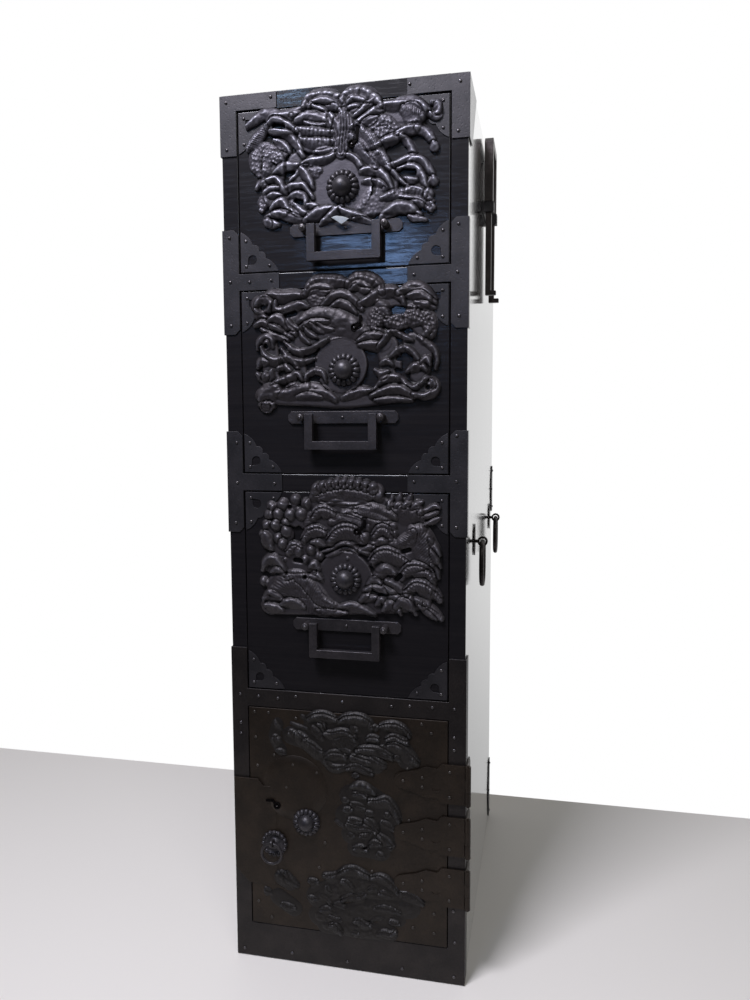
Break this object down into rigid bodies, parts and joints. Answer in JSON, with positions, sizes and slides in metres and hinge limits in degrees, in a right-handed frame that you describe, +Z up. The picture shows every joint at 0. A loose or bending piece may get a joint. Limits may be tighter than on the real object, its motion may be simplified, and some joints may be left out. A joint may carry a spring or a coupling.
{
  "type": "narrow tansu chest",
  "caption": "Tall narrow lacquered tansu with stacked drawers over a hinged door, carved iron lock plates, bail handles, side rings and lifting handles for a carrying pole.",
  "frame": {"origin": "centre of the underside, midway between the sides and midway between the wooden front and the back", "axes": "+X to the right of someone facing the front, +Y into the depth, +Z up; the front faces -Y"},
  "size_m": [0.339, 0.47, 1.1],
  "materials": {
    "lacquer": "glossy black lacquer over wood",
    "bare_wood": "plain unlacquered softwood, aged",
    "black_iron": "satin black finished iron, hammered",
    "worn_iron": "dark iron with a brown, hand-worn surface"
  },
  "bodies": {
    "case": {"side_panel_left": "lacquer", "side_panel_right": "lacquer", "back_panel": "bare_wood", "top_board": "lacquer", "divider_1": "lacquer", "divider_2": "lacquer", "divider_3": "lacquer", "base": "lacquer", "top_corner_iron_left": "black_iron", "top_corner_iron_right": "black_iron", "tee_iron_1_left": "black_iron", "tee_iron_1_right": "black_iron", "tee_iron_2_left": "black_iron", "tee_iron_2_right": "black_iron", "lower_frame_iron": "black_iron", "handle_keeper_left": "black_iron", "handle_keeper_right": "black_iron", "ring_eye_front_left": "black_iron", "ring_eye_rear_left": "black_iron", "ring_eye_front_right": "black_iron", "ring_eye_rear_right": "black_iron", "hinge_leaf_1": "black_iron", "hinge_leaf_2": "black_iron", "hinge_leaf_3": "black_iron"},
    "drawer_1": {"drawer_1_front": "lacquer", "drawer_1_box": "bare_wood", "drawer_1_lock_plate": "black_iron", "drawer_1_boss": "black_iron", "drawer_1_handle_plate": "black_iron"},
    "drawer_1_bail": {"drawer_1_bail": "black_iron"},
    "drawer_1_bolt": {"drawer_1_lock_bolt": "worn_iron"},
    "drawer_2": {"drawer_2_front": "lacquer", "drawer_2_box": "bare_wood", "drawer_2_lock_plate": "black_iron", "drawer_2_boss": "black_iron", "drawer_2_handle_plate": "black_iron"},
    "drawer_2_bail": {"drawer_2_bail": "black_iron"},
    "drawer_2_bolt": {"drawer_2_lock_bolt": "worn_iron"},
    "drawer_3": {"drawer_3_front": "lacquer", "drawer_3_box": "bare_wood", "drawer_3_lock_plate": "black_iron", "drawer_3_boss": "black_iron", "drawer_3_handle_plate": "black_iron"},
    "drawer_3_bail": {"drawer_3_bail": "black_iron"},
    "drawer_3_bolt": {"drawer_3_lock_bolt": "worn_iron"},
    "door": {"door_panel": "lacquer", "door_sheet": "black_iron", "door_lock_plate": "black_iron", "door_boss": "black_iron", "hinge_strap_1": "black_iron", "hinge_strap_2": "black_iron", "hinge_strap_3": "black_iron"},
    "door_ring": {"door_ring": "worn_iron"},
    "door_bolt": {"door_lock_bolt": "worn_iron"},
    "pole_handle_left": {"pole_handle_left": "worn_iron"},
    "side_ring_front_left": {"side_ring_front_left": "worn_iron"},
    "side_ring_rear_left": {"side_ring_rear_left": "worn_iron"},
    "pole_handle_right": {"pole_handle_right": "worn_iron"},
    "side_ring_front_right": {"side_ring_front_right": "worn_iron"},
    "side_ring_rear_right": {"side_ring_rear_right": "worn_iron"}
  },
  "joints": [
    {"name": "drawer_1_slide", "type": "slide", "parent": "case", "child": "drawer_1", "axis": [0, -1, 0], "range_m": [0, 0.36]},
    {"name": "drawer_1_bail_swing", "type": "hinge", "parent": "drawer_1", "child": "drawer_1_bail", "pos_m": [0.005, -0.2375, 0.9355], "axis": [-1, 0, 0], "range_deg": [0, 100]},
    {"name": "drawer_1_bolt_lift", "type": "slide", "parent": "drawer_1", "child": "drawer_1_bolt", "axis": [0, 0, 1], "range_m": [0, 0.008]},
    {"name": "drawer_2_slide", "type": "slide", "parent": "case", "child": "drawer_2", "axis": [0, -1, 0], "range_m": [0, 0.36]},
    {"name": "drawer_2_bail_swing", "type": "hinge", "parent": "drawer_2", "child": "drawer_2_bail", "pos_m": [-0.0005, -0.2375, 0.7125], "axis": [-1, 0, 0], "range_deg": [0, 100]},
    {"name": "drawer_2_bolt_lift", "type": "slide", "parent": "drawer_2", "child": "drawer_2_bolt", "axis": [0, 0, 1], "range_m": [0, 0.008]},
    {"name": "drawer_3_slide", "type": "slide", "parent": "case", "child": "drawer_3", "axis": [0, -1, 0], "range_m": [0, 0.36]},
    {"name": "drawer_3_bail_swing", "type": "hinge", "parent": "drawer_3", "child": "drawer_3_bail", "pos_m": [0.0025, -0.2375, 0.455], "axis": [-1, 0, 0], "range_deg": [0, 100]},
    {"name": "drawer_3_bolt_lift", "type": "slide", "parent": "drawer_3", "child": "drawer_3_bolt", "axis": [0, 0, 1], "range_m": [0, 0.008]},
    {"name": "door_swing", "type": "hinge", "parent": "case", "child": "door", "pos_m": [0.1545, -0.2295, 0.196], "axis": [0, 0, 1], "range_deg": [0, 175]},
    {"name": "door_ring_swing", "type": "hinge", "parent": "door", "child": "door_ring", "pos_m": [-0.096, -0.2401, 0.1674], "axis": [-1, 0, 0], "range_deg": [0, 90]},
    {"name": "door_bolt_slide", "type": "slide", "parent": "door", "child": "door_bolt", "axis": [-1, 0, 0], "range_m": [0, 0.008]},
    {"name": "pole_handle_left_lift", "type": "slide", "parent": "case", "child": "pole_handle_left", "axis": [0, 0, 1], "range_m": [0, 0.106]},
    {"name": "side_ring_front_left_swing", "type": "hinge", "parent": "case", "child": "side_ring_front_left", "pos_m": [-0.1615, -0.121, 0.55], "axis": [0, 1, 0], "range_deg": [0, 95]},
    {"name": "side_ring_rear_left_swing", "type": "hinge", "parent": "case", "child": "side_ring_rear_left", "pos_m": [-0.1615, 0.16, 0.55], "axis": [0, 1, 0], "range_deg": [0, 95]},
    {"name": "pole_handle_right_lift", "type": "slide", "parent": "case", "child": "pole_handle_right", "axis": [0, 0, 1], "range_m": [0, 0.106]},
    {"name": "side_ring_front_right_swing", "type": "hinge", "parent": "case", "child": "side_ring_front_right", "pos_m": [0.1615, -0.121, 0.55], "axis": [0, -1, 0], "range_deg": [0, 95]},
    {"name": "side_ring_rear_right_swing", "type": "hinge", "parent": "case", "child": "side_ring_rear_right", "pos_m": [0.1615, 0.16, 0.55], "axis": [0, -1, 0], "range_deg": [0, 95]}
  ]
}
